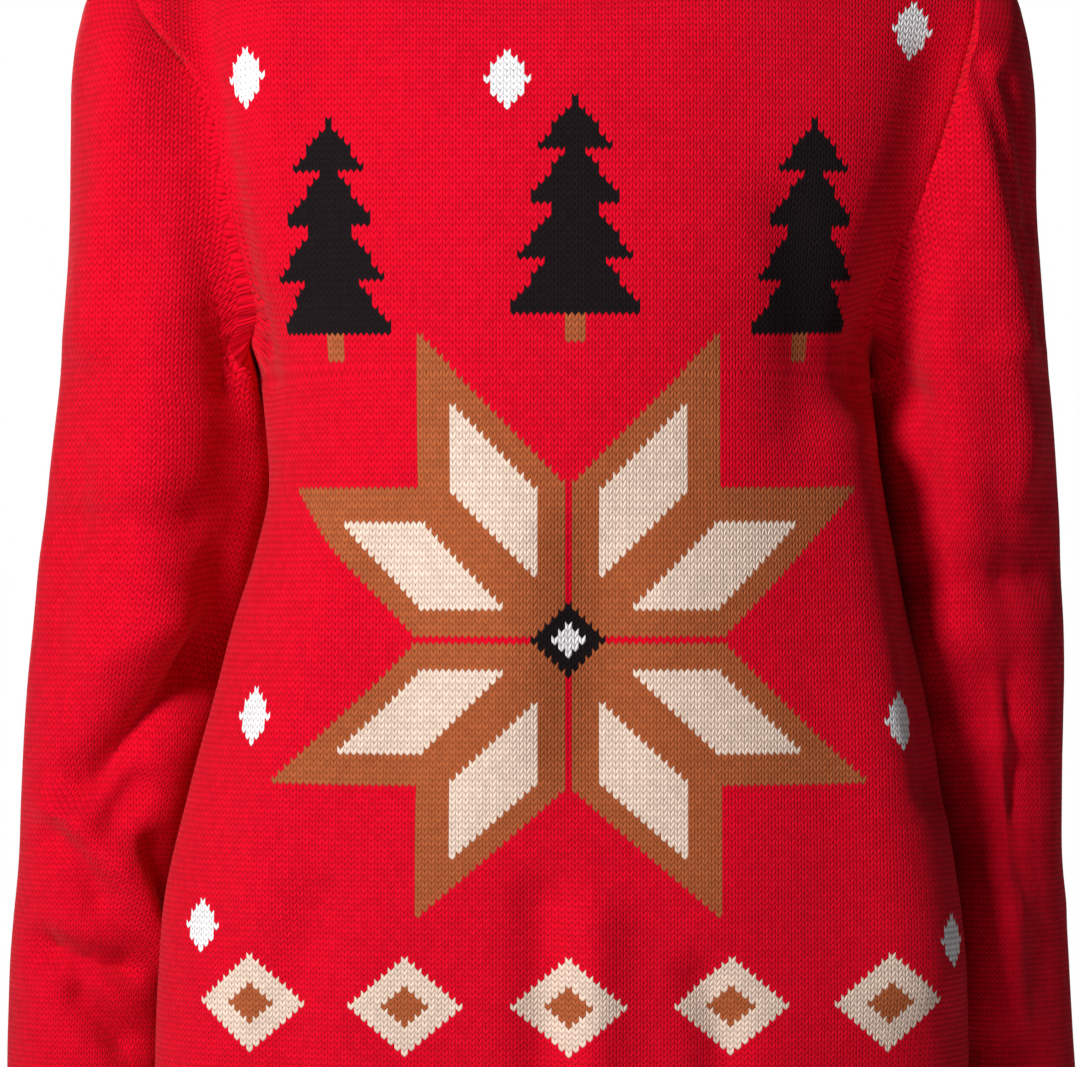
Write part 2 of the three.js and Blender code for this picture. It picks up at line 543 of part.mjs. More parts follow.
// The neckband stands up from the neckline and leans in towards the neck.
function neckband(name) {
  const half = ({ rows }) => {
    const [points, neighbours] = rows.slice(0, 2)
      .map((row) => row.slice(SHOULDER_COLUMNS, row.length - SHOULDER_COLUMNS));
    return seam(points, neighbours);
  };
  const front = half(knit.front);
  const back = half(knit.back);
  // At the neck points the front's and the back's edges go on in one direction.
  [[0, back.length - 1], [front.length - 1, 0]].forEach(([f, b]) => {
    front[f].away.add(back[b].away).normalize();
  });
  const edge = [...front, ...back.slice(1, -1)];
  ["away", "normal"].forEach((key) => {
    const before = edge.map((stitch) => stitch[key].clone());
    edge.forEach((stitch, n) => {
      stitch[key].add(before.at(n - 1)).add(before[(n + 1) % edge.length]).normalize();
    });
  });
  const { outer, inner } = ribbing(edge, RIBS_PER_COLUMN, [1, 0], true, ({ point, normal, away }, share) => {
    const base = point.clone().addScaledVector(away, SEAM_GAP);
    if (share === 0) return { place: base, outward: normal.normalize() };
    const radial = point.clone().sub(NECK_CENTRE).setZ(0).normalize();
    const rise = away.clone().multiplyScalar(NECKBAND.flow)
      .add(new THREE.Vector3(0, 0, 1 - NECKBAND.flow)).normalize();
    const place = base.addScaledVector(rise, NECKBAND.height * share);
    return { place, outward: radial.addScaledVector(rise, -radial.dot(rise)).normalize() };
  });
  return piece(name, wall(outer, inner, true));
}

const group = new THREE.Group();
group.name = "christmas_sweater";
group.add(
  knitPiece("front"),
  knitPiece("back"),
  knitPiece("sleeve_right"),
  knitPiece("sleeve_left"),
  neckband("neckband"),
  hemRib("hem_rib_front", "front"),
  hemRib("hem_rib_back", "back"),
  cuff("cuff_right", "sleeve_right"),
  cuff("cuff_left", "sleeve_left"),
);

export default group;
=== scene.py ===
import math

import bpy
import numpy as np
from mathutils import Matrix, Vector


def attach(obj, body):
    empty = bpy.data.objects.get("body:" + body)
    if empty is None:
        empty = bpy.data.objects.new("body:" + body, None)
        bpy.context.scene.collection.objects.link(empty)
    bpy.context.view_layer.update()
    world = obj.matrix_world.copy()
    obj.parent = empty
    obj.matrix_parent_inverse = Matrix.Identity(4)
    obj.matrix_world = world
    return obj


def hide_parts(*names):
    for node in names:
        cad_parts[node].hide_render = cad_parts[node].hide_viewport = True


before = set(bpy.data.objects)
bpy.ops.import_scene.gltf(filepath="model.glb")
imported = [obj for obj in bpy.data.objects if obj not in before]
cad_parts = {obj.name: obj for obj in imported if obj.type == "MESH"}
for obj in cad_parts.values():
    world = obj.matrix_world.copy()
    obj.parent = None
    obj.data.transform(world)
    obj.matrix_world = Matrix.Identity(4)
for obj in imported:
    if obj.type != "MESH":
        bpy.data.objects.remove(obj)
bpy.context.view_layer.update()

# A knitted Christmas sweater in the shape it takes when it is worn with the arms down, without its wearer.
# Sizes are millimetres unless a name says otherwise, +Z is up and the front faces -Y. Left and right are the
# wearer's, so the right sleeve is at -X. The origin is between the two neck points.
MM = 0.001


# The camera
# It looks level at the chest from in front, as a catalogue picture does. Its frame begins under the neck
# and ends just above the hem's seam.
view = {"x": -13, "z": -368, "front": -60, "distance": 2600, "width": 572.4}
lens = bpy.data.cameras.new("camera")
lens.sensor_width = 36
lens.lens = lens.sensor_width * view["distance"] / view["width"]
camera = bpy.data.objects.new("camera", lens)
camera.location = Vector((view["x"], view["front"] - view["distance"], view["z"])) * MM
camera.rotation_euler = (math.radians(90), 0, 0)
bpy.context.collection.objects.link(camera)
bpy.context.scene.camera = camera
bpy.context.scene.view_settings.view_transform = "Standard"


# The studio
# A plain pale floor lies well below the hanging sweater. Weak light comes from all round it, and the wall
# behind it is white. A soft lamp stands to the viewer's left, and a larger one far behind.
class Wire:
    """A value, colour or vector inside a material. Arithmetic on it adds Math nodes."""

    def __init__(self, tree, socket=None):
        self.tree = tree
        self.socket = socket

    def node(self, kind, settings={}, values={}, output=0):
        """A node of this kind with its own settings made first, then its sockets' values or links."""
        made = self.tree.nodes.new("ShaderNode" + kind)
        for name, setting in settings.items():
            setattr(made, name, setting)
        for name, value in values.items():
            if isinstance(value, Wire):
                self.tree.links.new(value.socket, made.inputs[name])
            else:
                made.inputs[name].default_value = value
        return Wire(self.tree, made.outputs[output])

    def output(self, name):
        """Another output of the node that this one comes from."""
        return Wire(self.tree, self.socket.node.outputs[name])

    def into(self, kind):
        """Ends the material or world in its output node."""
        self.tree.links.new(self.socket, self.tree.nodes.new("ShaderNode" + kind).inputs["Surface"])

    def math(self, operation, *others):
        values = {0: self, **{place: other for place, other in enumerate(others, 1)}}
        return self.node("Math", {"operation": operation}, values)

    def step(self, low, high):
        """Rises smoothly from 0 at low to 1 at high."""
        limits = {"Value": self, "From Min": low, "From Max": high}
        return self.node("MapRange", {"interpolation_type": "SMOOTHSTEP"}, limits)

    def between(self, low, high):
        """A colour between two, where this value is 0 and 1."""
        return self.node("Mix", {"data_type": "RGBA"}, {0: self, 6: low, 7: high}, output=2)

    def __add__(self, other):
        return self.math("ADD", other)

    def __mul__(self, other):
        return self.math("MULTIPLY", other)

    def __sub__(self, other):
        return self.math("SUBTRACT", other)

    def __rsub__(self, other):
        return self.node("Math", {"operation": "SUBTRACT"}, {0: other, 1: self})

    def __pow__(self, other):
        return self.math("POWER", other)

    def __lt__(self, other):
        return self.math("LESS_THAN", other)

    def __gt__(self, other):
        return self.math("GREATER_THAN", other)

    def __and__(self, other):
        return self.math("MULTIPLY", other)

    def __or__(self, other):
        return self.math("MAXIMUM", other)

    def __abs__(self):
        return self.math("ABSOLUTE")

    __radd__ = __add__
    __rmul__ = __mul__


floor_z = -1250
floor_x = (-20000, 20000)
floor_y = (-20000, 5000)
floor_mesh = bpy.data.meshes.new("floor")
corners = [(0, 0), (1, 0), (1, 1), (0, 1)]
floor_points = [(floor_x[i] * MM, floor_y[j] * MM, floor_z * MM) for i, j in corners]
floor_mesh.from_pydata(floor_points, [], [(0, 1, 2, 3)])
floor = bpy.data.objects.new("floor", floor_mesh)
bpy.context.collection.objects.link(floor)
paint = bpy.data.materials.new("pale_floor")
paint.use_nodes = True
paint.node_tree.nodes.clear()
floor_paint = {"Base Color": (0.8, 0.8, 0.79, 1), "Roughness": 0.8}
Wire(paint.node_tree).node("BsdfPrincipled", {}, floor_paint).into("OutputMaterial")
floor_mesh.materials.append(paint)

world = bpy.data.worlds.new("studio")
world.use_nodes = True
world.node_tree.nodes.clear()
bpy.context.scene.world = world
room_light = (0.07, 0.065, 0.07, 1)
wall_light = (1, 1, 1, 1)
wall_edge = (0.6, 0.97)  # how far backwards a direction points where the wall begins and where it is full
outward_view = Wire(world.node_tree).node("TexCoord")
direction = outward_view.node("SeparateXYZ", {}, {0: outward_view})
room = direction.output("Y").step(*wall_edge).between(room_light, wall_light)
room.node("Background", {}, {"Color": room, "Strength": 1}).into("OutputWorld")

lamp_target = Vector((0, -40, -380))
lamps = [
    ("soft_lamp", (-1100, -1650, 500), 500, 58),
    ("back_lamp", (-900, 2700, 700), 900, 60),
]
for name, at, size, watts in lamps:
    lamp_data = bpy.data.lights.new(name, "AREA")
    lamp_data.shape = "DISK"
    lamp_data.size = size * MM
    lamp_data.energy = watts
    lamp = bpy.data.objects.new(name, lamp_data)
    lamp.location = Vector(at) * MM
    lamp.rotation_euler = (lamp_target - Vector(at)).to_track_quat("-Z", "Y").to_euler()
    bpy.context.collection.objects.link(lamp)


# Front, back and sleeves
# Four pieces of thick acrylic stocking stitch, machine knitted to shape and linked together at the shoulders,
# armholes and sides. The front's pattern is knitted in with white, black, brown and beige yarn.
CLOTH = 2.4  # thickness
SEAM_GAP = 0.06  # between pieces that are sewn together
FINE = 6  # steps to one step of the solids' own grids
FRONT, BACK = -1, 1
RIGHT, LEFT = -1, 1

UNDERARM_Z = -285
HEM_SEAM_Z = -662
TIP_Y, TIP_Z = 8, -60  # where the shoulder seam meets the sleeve
SHOULDER_CURVE = 1.15
NECK_HALF_WIDTH = 88
NECK_Y = 6
NECK = {FRONT: {"drop": 80, "reach": 82}, BACK: {"drop": 24, "reach": 62}}
NECK_DIP = 1.3
SHOULDER_COLUMNS = 5
NECK_COLUMNS = 5
HALF_COLUMNS = SHOULDER_COLUMNS + NECK_COLUMNS
ARMHOLE_ROWS = 12
YOKE_ROWS = 5
BODY_ROWS = 12
ARMHOLE_REACH = 66
BODY_SQUARENESS = 2.3
SHOULDER_RISE = 0.12  # how steeply a panel arrives at the shoulder seam
NECK_LEAN = (0.5, 0.86)  # how it arrives at the neckline: inwards and up
NECK_SHARE = 0.6  # of its half width, where one turns into the other
HANDLE_SHARE = 0.42  # of a column's length over the yoke, its curve's handles
EASINGS = 3  # times that the upper rows are evened out


def table(names, *rows):
    """Named columns from rows of numbers."""
    return {name: np.array(column, float) for name, column in zip(names.split(), zip(*rows))}


# Body sections from the underarm down: half widths, and the depth of the side seam, the front and the back
body_sections = table(
    "z right left side front back",
    (-285, 164, 166, 8, -119, 112),
    (-320, 159, 170, 5, -120, 108),
    (-360, 162, 176, 0, -121, 104),
    (-405, 175, 184, -6, -122, 102),
    (-452, 187, 194, -12, -122, 102),
    (-505, 201, 203, -18, -123, 104),
    (-565, 215, 212, -23, -124, 106),
    (-620, 219, 216, -26, -124, 108),
    (-662, 220, 216, -27, -123, 108),
)
# Chest sections from the underarm up: the depth of centre front and back, and how far from them each would be
# widest if the armhole didn't cut it short
chest_sections = table(
    "z front back front_reach back_reach squareness",
    (-285, -119, 112, 127, 104, 2.3),
    (-262, -119, 114, 126, 105, 2.15),
    (-225, -118, 116, 126, 107, 2),
    (-180, -114, 117, 129, 111, 2),
    (-142, -105, 113, 134, 116, 2),
)
# The armhole seams: how far out they lie at each height
armholes = table(
    "z right left",
    (-285, 165, 166),
    (-255, 171, 173),
    (-220, 180, 186),
    (-189, 186, 197),
    (-148, 192, 208),
    (-118, 205, 216),
    (-92, 224, 220),
    (-75, 233, 222),
    (-60, 236, 223),
)
# Sleeve stations from the armhole to the cuff seam: the tube's outer and inner edges as seen from the front,
# its middle in depth and half its depth
station_columns = "number outer_x outer_z inner_x inner_z mid_y half_depth"
sleeve_stations = {
    RIGHT: table(
        station_columns,
        (0, 236, -60, 165, -285, 8, 66),
        (1, 257, -74, 163.6, -291, 10, 65),
        (2, 267, -118, 161.4, -301, 13, 64),
        (3, 269, -190, 159.4, -318, 17, 63),
        (4, 274, -268, 160, -346, 22, 61),
        (5, 282, -342, 169.5, -388, 26, 59),
        (6, 290, -415, 182.5, -440, 28, 56),
        (7, 296, -480, 195, -493, 29, 54),
        (8, 299, -545, 209, -551, 30, 52),
        (9, 303, -605, 214, -608, 30, 50),
        (10, 304, -660, 216, -660, 29, 47),
    ),
    LEFT: table(
        station_columns,
        (0, 223, -60, 166, -285, 8, 66),
        (1, 244, -73, 166.4, -291, 10, 65),
        (2, 255, -118, 167.2, -301, 13, 64),
        (3, 258, -190, 168.8, -318, 17, 63),
        (4, 263, -268, 172.6, -346, 22, 62),
        (5, 270, -342, 179.4, -388, 26, 61),
        (6, 274, -415, 189, -440, 28, 60),
        (7, 274, -480, 198.5, -493, 29, 58),
        (8, 274, -545, 208, -551, 30, 56),
        (9, 277, -605, 212, -608, 30, 53),
        (10, 280, -660, 213, -660, 29, 48),
    ),
}
RINGS_PER_STATION = 2
ARMHOLE_FADE_RINGS = 7


def column_at(columns, name, at, place="z"):
    """One column of a table at a place along another, on a smooth curve through the rows."""
    order = np.argsort(columns[place])
    x, y = columns[place][order], columns[name][order]
    at = min(max(at, x[0]), x[-1])
    row = min(np.searchsorted(x, at, side="right") - 1, len(x) - 2)

    def slope(n):
        before, after = max(n - 1, 0), min(n + 1, len(x) - 1)
        return (y[after] - y[before]) / (x[after] - x[before])

    span = x[row + 1] - x[row]
    t = (at - x[row]) / span
    start = (2 * t**3 - 3 * t**2 + 1) * y[row] + (t**3 - 2 * t**2 + t) * slope(row) * span
    return start + (3 * t**2 - 2 * t**3) * y[row + 1] + (t**3 - t**2) * slope(row + 1) * span


def evenly(point_at, steps, dense=60):
    """Evenly spaced points along a curve that is given as a function of 0 to 1."""
    points = np.array([point_at(n / dense) for n in range(dense + 1)])
    length = np.append(0, np.cumsum(np.linalg.norm(np.diff(points, axis=0), axis=1)))
    wanted = np.linspace(0, length[-1], steps + 1)
    return np.stack([np.interp(wanted, length, points[:, axis]) for axis in range(3)], axis=1)


def armhole_point(angle, facing, hand):
    """A point of the armhole seam, from 0 degrees at the shoulder tip to 180 at the underarm."""
    z = (TIP_Z + UNDERARM_Z) / 2 + (TIP_Z - UNDERARM_Z) / 2 * math.cos(math.radians(angle))
    x = column_at(armholes, "right" if hand == RIGHT else "left", z)
    return np.array([hand * x, TIP_Y + facing * ARMHOLE_REACH * math.sin(math.radians(angle)), z])


def level_row(middle_y, edges, reach, squareness):
    """A level row of a panel from its right edge to its left, part of a rounded section."""
    halves = []
    for edge in edges:
        power = 2 / squareness
        depth = (edge[1] - middle_y) / reach
        end = math.acos(max(1 - depth, 0) ** (1 / power))

        def point(t, edge=edge, end=end):
            across = math.sin(end * t) ** power / math.sin(end) ** power
            behind = reach * (1 - max(math.cos(end * t), 0) ** power)
            return edge[0] * across, middle_y + behind, edge[2]

        halves.append(evenly(point, HALF_COLUMNS))
    return np.concatenate([halves[0][::-1], halves[1][1:]])


def armhole_angle(row):
    return 180 * row / ARMHOLE_ROWS


def top_edge(facing):
    """A panel's top edge: shoulder seam, neckline, shoulder seam."""
    halves = []
    for hand in (RIGHT, LEFT):

        def neckline(t, hand=hand):
            turn = t * math.pi / 2
            dip = NECK[facing]["drop"] * max(math.cos(turn), 0) ** NECK_DIP
            reach = NECK[facing]["reach"] * math.cos(turn)
            return hand * NECK_HALF_WIDTH * math.sin(turn), NECK_Y + facing * reach, -dip

        tip = armhole_point(0, facing, hand)

        def shoulder(t, hand=hand, tip=tip):
            x = hand * NECK_HALF_WIDTH + (tip[0] - hand * NECK_HALF_WIDTH) * t
            return x, NECK_Y + (tip[1] - NECK_Y) * t, tip[2] * t**SHOULDER_CURVE

        neck_part = evenly(neckline, NECK_COLUMNS)
        halves.append(np.concatenate([neck_part, evenly(shoulder, SHOULDER_COLUMNS)[1:]]))
    return np.concatenate([halves[0][::-1], halves[1][1:]])


def unit(vectors):
    return vectors / np.maximum(np.linalg.norm(vectors, axis=-1, keepdims=True), 1e-9)


def smoothstep(value, low, high):
    t = np.clip((value - low) / (high - low), 0, 1)
    return t * t * (3 - 2 * t)


def ease_between(rows, here, before, after):
    """Moves a point halfway to the straight line between two neighbours."""
    first = np.linalg.norm(rows[here] - rows[before])
    second = np.linalg.norm(rows[here] - rows[after])
    straight = rows[before] + (rows[after] - rows[before]) * first / (first + second)
    rows[here] = (rows[here] + straight) / 2


def panel_rows(facing):
    """A panel's cross-rows from the shoulder down to the hem seam, from its right edge to its left."""
    side = "front" if facing == FRONT else "back"
    rows = np.zeros((ARMHOLE_ROWS + 1 + BODY_ROWS, 2 * HALF_COLUMNS + 1, 3))
    for row in range(YOKE_ROWS, ARMHOLE_ROWS):
        edges = [armhole_point(armhole_angle(row), facing, hand) for hand in (RIGHT, LEFT)]
        names = (side, side + "_reach", "squareness")
        middle, reach, squareness = (column_at(chest_sections, name, edges[0][2]) for name in names)
        rows[row] = level_row(middle, edges, -facing * reach, squareness)
    for row in range(BODY_ROWS + 1):
        z = UNDERARM_Z + (HEM_SEAM_Z - UNDERARM_Z) * row / BODY_ROWS
        seam_y = column_at(body_sections, "side", z)
        edges = [(RIGHT * column_at(body_sections, "right", z), seam_y, z),
                 (LEFT * column_at(body_sections, "left", z), seam_y, z)]
        middle = column_at(body_sections, side, z)
        rows[ARMHOLE_ROWS + row] = level_row(middle, edges, seam_y - middle, BODY_SQUARENESS)
    rows[ARMHOLE_ROWS, 0] = armhole_point(180, facing, RIGHT)
    rows[ARMHOLE_ROWS, -1] = armhole_point(180, facing, LEFT)

    # Above the level rows each column rises and turns over the shoulder or in to the neck.
    over_shoulder = unit(np.array([0, -facing, SHOULDER_RISE]))
    to_neck = unit(np.array([0, -facing * NECK_LEAN[0], NECK_LEAN[1]]))
    for column, end in enumerate(top_edge(facing)):
        start = rows[YOKE_ROWS, column]
        rise = unit(start - rows[YOKE_ROWS + 1, column])
        outward = abs(column - HALF_COLUMNS) / HALF_COLUMNS
        share = smoothstep(outward, 0, NECK_SHARE)
        arrive = unit(to_neck * (1 - share) + over_shoulder * share)
        handle = np.linalg.norm(end - start) * HANDLE_SHARE
        a, b, c, d = start, start + rise * handle, end - arrive * handle, end
        for row in range(YOKE_ROWS):
            t = 1 - row / YOKE_ROWS
            rows[row, column] = a * (1 - t)**3 + 3 * b * (1 - t)**2 * t + 3 * c * (1 - t) * t**2 + d * t**3
    # The armhole's own outline holds at the panel's edges and fades out over the next columns.
    for row in range(1, YOKE_ROWS):
        for edge, hand in ((0, RIGHT), (2 * HALF_COLUMNS, LEFT)):
            shift = armhole_point(armhole_angle(row), facing, hand) - rows[row, edge]
            for n in range(SHOULDER_COLUMNS):
                rows[row, edge - hand * n] += shift * (1 - n / SHOULDER_COLUMNS)**2
    for _ in range(EASINGS):
        for row in range(1, ARMHOLE_ROWS + 2):
            for column in range(1, 2 * HALF_COLUMNS):
                ease_between(rows, (row, column), (row - 1, column), (row + 1, column))
                if row < YOKE_ROWS:
                    ease_between(rows, (row, column), (row, column - 1), (row, column + 1))
    return rows


def sleeve_rings(hand):
    """A sleeve's rings from the armhole to the cuff seam. Each starts at the underarm's line and goes round
    from left to right as seen from outside."""
    stations = sleeve_stations[hand]
    around = 2 * ARMHOLE_ROWS

    def tube(ring, angle):
        at = {name: column_at(stations, name, ring / RINGS_PER_STATION, "number") for name in stations}
        out = math.cos(angle)
        x = (at["outer_x"] + at["inner_x"]) / 2 + (at["outer_x"] - at["inner_x"]) / 2 * out
        z = (at["outer_z"] + at["inner_z"]) / 2 + (at["outer_z"] - at["inner_z"]) / 2 * out
        return np.array([hand * x, at["mid_y"] - at["half_depth"] * math.sin(angle), z])

    rings = []
    for ring in range(RINGS_PER_STATION * (len(stations["number"]) - 1) + 1):
        fade = max(0, 1 - ring / ARMHOLE_FADE_RINGS)**2
        points = []
        for k in range(around):
            angle = 2 * math.pi * k / around
            facing, row = (FRONT, k) if k <= ARMHOLE_ROWS else (BACK, around - k)
            own = armhole_point(armhole_angle(row), facing, hand) - tube(0, angle)
            points.append(tube(ring, angle) + own * fade)
        rings.append(points)
    rings = np.array(rings)
    if hand == LEFT:
        rings = np.concatenate([rings[:, :1], rings[:, :0:-1]], axis=1)
    return np.roll(rings, ARMHOLE_ROWS, axis=1)


def refined(lines, closed=False):
    """Finer points on smooth curves through the given ones, along the first axis."""
    if closed:
        count = len(lines)
        wrapped = np.concatenate([lines[-2:], lines, lines[:3]])
        return refined(wrapped)[2 * FINE:(2 + count) * FINE]
    step = np.diff(lines, axis=0)
    length = np.maximum(np.linalg.norm(step, axis=-1, keepdims=True), 1e-6)
    slope = step / length
    inner = (slope[:-1] * length[1:] + slope[1:] * length[:-1]) / (length[:-1] + length[1:])
    tangent = np.concatenate([2 * slope[:1] - inner[:1], inner, 2 * slope[-1:] - inner[-1:]])
    t = (np.arange(FINE) / FINE).reshape((FINE,) + (1,) * lines.ndim)
    fine = (2 * t**3 - 3 * t**2 + 1) * lines[:-1] + (t**3 - 2 * t**2 + t) * length * tangent[:-1]
    fine = fine + (3 * t**2 - 2 * t**3) * lines[1:] + (t**3 - t**2) * length * tangent[1:]
    fine = np.swapaxes(fine, 0, 1).reshape((-1,) + lines.shape[1:])
    return np.concatenate([fine, lines[-1:]])


def refined_between(line, corners):
    """A refined line that may turn sharply at some of its points."""
    parts = [refined(line[a:b + 1]) for a, b in zip([0] + corners, corners + [len(line) - 1])]
    return np.concatenate([parts[0]] + [part[1:] for part in parts[1:]])


def pull_edge(grid, line, fade):
    """Moves a grid's first line on to another, and the next lines after it by less and less."""
    shift = line - grid[0]
    for n in range(fade):
        grid[n] += shift * (1 - n / fade)**2


def turned(grid):
    return np.swapaxes(grid, 0, 1)


def fine_panel(facing, sleeves):
    """A panel's fine grid, whose edges lie exactly on the sleeves' and the other panel's."""
    coarse = panel_rows(facing)
    grid = refined(turned(refined(turned(coarse))))
    neck_points = [SHOULDER_COLUMNS, SHOULDER_COLUMNS + 2 * NECK_COLUMNS]
    pull_edge(grid, refined_between(coarse[0], neck_points), FINE)
    armhole_steps = ARMHOLE_ROWS * FINE
    for hand, columns, coarse_edge in ((RIGHT, grid, coarse[:, 0]), (LEFT, grid[:, ::-1], coarse[:, -1])):
        edge = refined_between(coarse_edge, [ARMHOLE_ROWS])
        # A sleeve's ring starts at the underarm, and half of it is this panel's armhole.
        ring = sleeves[hand][0]
        forwards = (facing == BACK) == (hand == RIGHT)
        half = ring[:armhole_steps + 1] if forwards else np.concatenate([ring[armhole_steps:], ring[:1]])
        edge[:armhole_steps + 1] = half[::-1] if forwards else half
        pull_edge(turned(columns), edge, FINE)
    return grid if facing == FRONT else grid[:, ::-1]


fine_sleeves = {}
for hand in (RIGHT, LEFT):
    finer_rings = refined(sleeve_rings(hand))
    fine_sleeves[hand] = turned(refined(turned(finer_rings), closed=True))
grids = {
    "front": fine_panel(FRONT, fine_sleeves),
    "back": fine_panel(BACK, fine_sleeves),
    "sleeve_right": fine_sleeves[RIGHT],
    "sleeve_left": fine_sleeves[LEFT],
}
tubes = ("sleeve_right", "sleeve_left")

# Stitches: the width of one wale and, at each height, the height of one course
WALE = 3.55
course_heights = table("z height", (-60, 3.66), (-320, 3.6), (-440, 3.45), (-535, 3.05), (-662, 2.95))


def course_height(z):
    return np.interp(-z, -course_heights["z"], course_heights["height"])


def courses_along(lines, axis):
    """How many courses lie between the first point of each line and the others, along the cloth."""
    step = np.diff(lines, axis=0)
    length = np.linalg.norm(step[..., axis], axis=-1)
    courses = length / course_height((lines[1:, ..., 2] + lines[:-1, ..., 2]) / 2)
    return np.concatenate([np.zeros_like(courses[:1]), np.cumsum(courses, axis=0)])


def wales_along(grid, middle):
    """How many wales lie between a grid's middle column and the others, in the level direction."""
    level = np.linalg.norm(np.diff(grid[..., :2], axis=1), axis=-1) / WALE
    wales = np.concatenate([np.zeros_like(level[:, :1]), np.cumsum(level, axis=1)], axis=1)
    return wales - wales[:, middle:middle + 1]


def panel_stitches(grid):
    """The place of each point of a panel in the knitting: wales from the middle, and courses down."""
    middle = HALF_COLUMNS * FINE
    yoke = YOKE_ROWS * FINE
    wales = wales_along(grid, middle)
    sideways = np.sign(grid[yoke, -1, 0]) * grid[..., 0] / WALE
    rest = wales[yoke] - sideways[yoke]
    fade = (np.arange(yoke) / yoke)[:, None]
    wales[:yoke] = sideways[:yoke] + rest * fade
    down = courses_along(grid[yoke:, middle:middle + 1], [1, 2])
    up = courses_along(grid[yoke::-1], [1, 2])
    courses = np.concatenate([-up[:0:-1], np.repeat(down, grid.shape[1], axis=1)])
    return np.stack([wales, courses], axis=-1)


SLEEVE_WALES = 94  # round the whole sleeve


def sleeve_stitches(grid):
    """The same for a sleeve, whose middle is its outer line. Its wales run down at even angles round a level
    section, and the last column closes the ring."""
    closed = np.concatenate([grid, grid[:, :1]], axis=1)
    middle = ARMHOLE_ROWS * FINE
    x, y, z = np.moveaxis(closed, -1, 0)
    outer, inner = closed[:, middle], closed[:, 0]
    courses = np.interp(-z, -outer[:, 2], courses_along(outer[:, None], [0, 1, 2])[:, 0])
    outer_x = np.interp(-z, -outer[:, 2], outer[:, 0])
    inner_x = np.interp(-z, -inner[:, 2], inner[:, 0])
    middle_y = np.interp(-z, -outer[:, 2], outer[:, 1])
    depth = np.interp(-z, -outer[:, 2], (closed[:, middle * 3 // 2, 1] - closed[:, middle // 2, 1]) / 2)
    hand = np.sign(outer[0, 0])
    forwards = (x - (outer_x + inner_x) / 2) / ((outer_x - inner_x) / 2)
    angle = np.arctan2(hand * (y - middle_y) / depth, forwards)
    # The underarm's line is where the turn ends on one side and begins on the other.
    angle[:, 0] = -abs(angle[:, 0])
    angle[:, -1] = abs(angle[:, -1])
    return np.stack([angle / (2 * math.pi) * SLEEVE_WALES, courses], axis=-1)


stitches = {}
for name, grid in grids.items():
    stitches[name] = sleeve_stitches(grid) if name in tubes else panel_stitches(grid)


def shared_normals(grids):
    """Outward directions at all points, averaged where pieces meet, and a number for each place."""
    points = {}
    for name, grid in grids.items():
        points[name] = np.concatenate([grid, grid[:, :1]], axis=1) if name in tubes else grid
    keys = np.concatenate([np.round(p.reshape(-1, 3) * 100).astype(int) for p in points.values()])
    unique, index = np.unique(keys, axis=0, return_inverse=True)
    index = index.reshape(-1)
    total = np.zeros((len(unique), 3))
    places = {}
    start = 0
    for name, p in points.items():
        place = index[start:start + p.shape[0] * p.shape[1]].reshape(p.shape[:2])
        start += place.size
        places[name] = place
        face = unit(np.cross(p[1:, 1:] - p[:-1, :-1], p[:-1, 1:] - p[1:, :-1]))
        for corner in (place[:-1, :-1], place[1:, :-1], place[1:, 1:], place[:-1, 1:]):
            np.add.at(total, corner, face)
    total = unit(total)
    columns = {name: grid.shape[1] for name, grid in grids.items()}
    return {name: total[place][:, :columns[name]] for name, place in places.items()}, places


